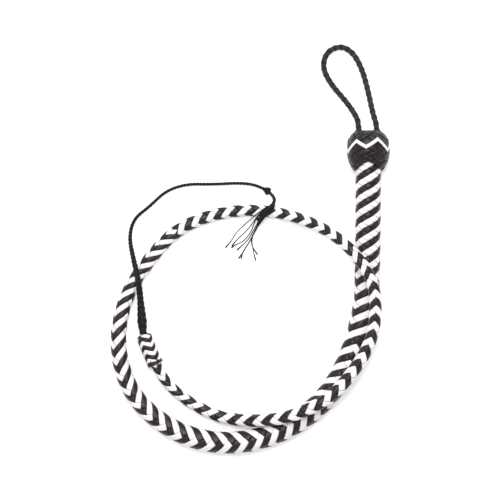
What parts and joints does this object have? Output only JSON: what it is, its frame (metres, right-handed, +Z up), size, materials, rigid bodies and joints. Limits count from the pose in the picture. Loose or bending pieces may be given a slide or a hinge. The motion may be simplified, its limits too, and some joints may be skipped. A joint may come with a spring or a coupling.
{
  "type": "coiled stock whip",
  "caption": "Short plaited riding whip in black and white lace, lying coiled: stiff grip with woven heel knot and wrist loop, tapered thong, hitch knot, thin fall and frayed cracker.",
  "frame": {"origin": "centre of the coil's footprint on the surface that it lies on", "axes": "+Z up from that surface, +Y along the grip towards the wrist loop, +X to the grip's side of the coil"},
  "size_m": [0.2678, 0.3941, 0.0434],
  "materials": {
    "black_lace": "waxed black leather lace, softly glossy",
    "white_lace": "white leather lace, satin",
    "loop_cord": "round plaited charcoal leather cord",
    "fall_hide": "twisted black hide, waxed",
    "inner_leather": "plain plaited hide, hidden inside",
    "steel": "plain rod, hidden inside",
    "thread": "frayed black twine"
  },
  "bodies": {
    "handle": {"grip_overlay": "black_lace", "grip_bolster": "inner_leather", "grip_spine": "steel", "heel_foundation": "inner_leather", "heel_knot": "black_lace", "heel_knot_white_lace": "white_lace", "loop_tails": "loop_cord"},
    "wrist_loop": {"wrist_loop": "loop_cord"},
    "thong_base": {"base_overlay": "black_lace", "base_belly": "inner_leather", "base_core": "inner_leather"},
    "thong_left": {"left_overlay": "black_lace", "left_belly": "inner_leather", "left_core": "inner_leather"},
    "thong_coil": {"coil_overlay": "black_lace", "coil_belly": "inner_leather", "coil_core": "inner_leather"},
    "thong_tail": {"tail_overlay": "black_lace", "tail_core": "inner_leather", "hitch_knot_black": "black_lace", "hitch_knot_white_laces": "white_lace", "fall_eye": "fall_hide"},
    "fall": {"fall": "fall_hide"},
    "cracker": {"cracker_knot": "fall_hide", "cracker_cord": "fall_hide", "cracker_threads": "thread"}
  },
  "joints": [
    {"name": "wrist_loop_swing", "type": "hinge", "parent": "handle", "child": "wrist_loop", "pos_m": [0.11325, 0.117, 0.02085], "axis": [1, 0, 0], "range_deg": [-75, 105]},
    {"name": "grip_end_bend", "type": "hinge", "parent": "handle", "child": "thong_base", "pos_m": [0.112, -0.0465, 0.0125], "axis": [0, 0, 1], "range_deg": [0, 40]},
    {"name": "bottom_bend", "type": "hinge", "parent": "thong_base", "child": "thong_left", "pos_m": [0.00975, -0.181, 0.011], "axis": [0, 0, 1], "range_deg": [0, 35]},
    {"name": "left_bend", "type": "hinge", "parent": "thong_left", "child": "thong_coil", "pos_m": [-0.12175, -0.05725, 0.0075], "axis": [0, 0, 1], "range_deg": [0, 30]},
    {"name": "tail_lift", "type": "hinge", "parent": "thong_coil", "child": "thong_tail", "pos_m": [0.0325, -0.16025, 0.02548], "axis": [0, 1, 0], "range_deg": [0, 90]},
    {"name": "fall_lift", "type": "hinge", "parent": "thong_tail", "child": "fall", "pos_m": [-0.10252, -0.07526, 0.00772], "axis": [0.9965, 0.083, 0], "range_deg": [0, 90]},
    {"name": "cracker_lift", "type": "hinge", "parent": "fall", "child": "cracker", "pos_m": [0.017, 0.057, 0.00355], "axis": [-0.6178, -0.7863, 0], "range_deg": [0, 80]}
  ]
}
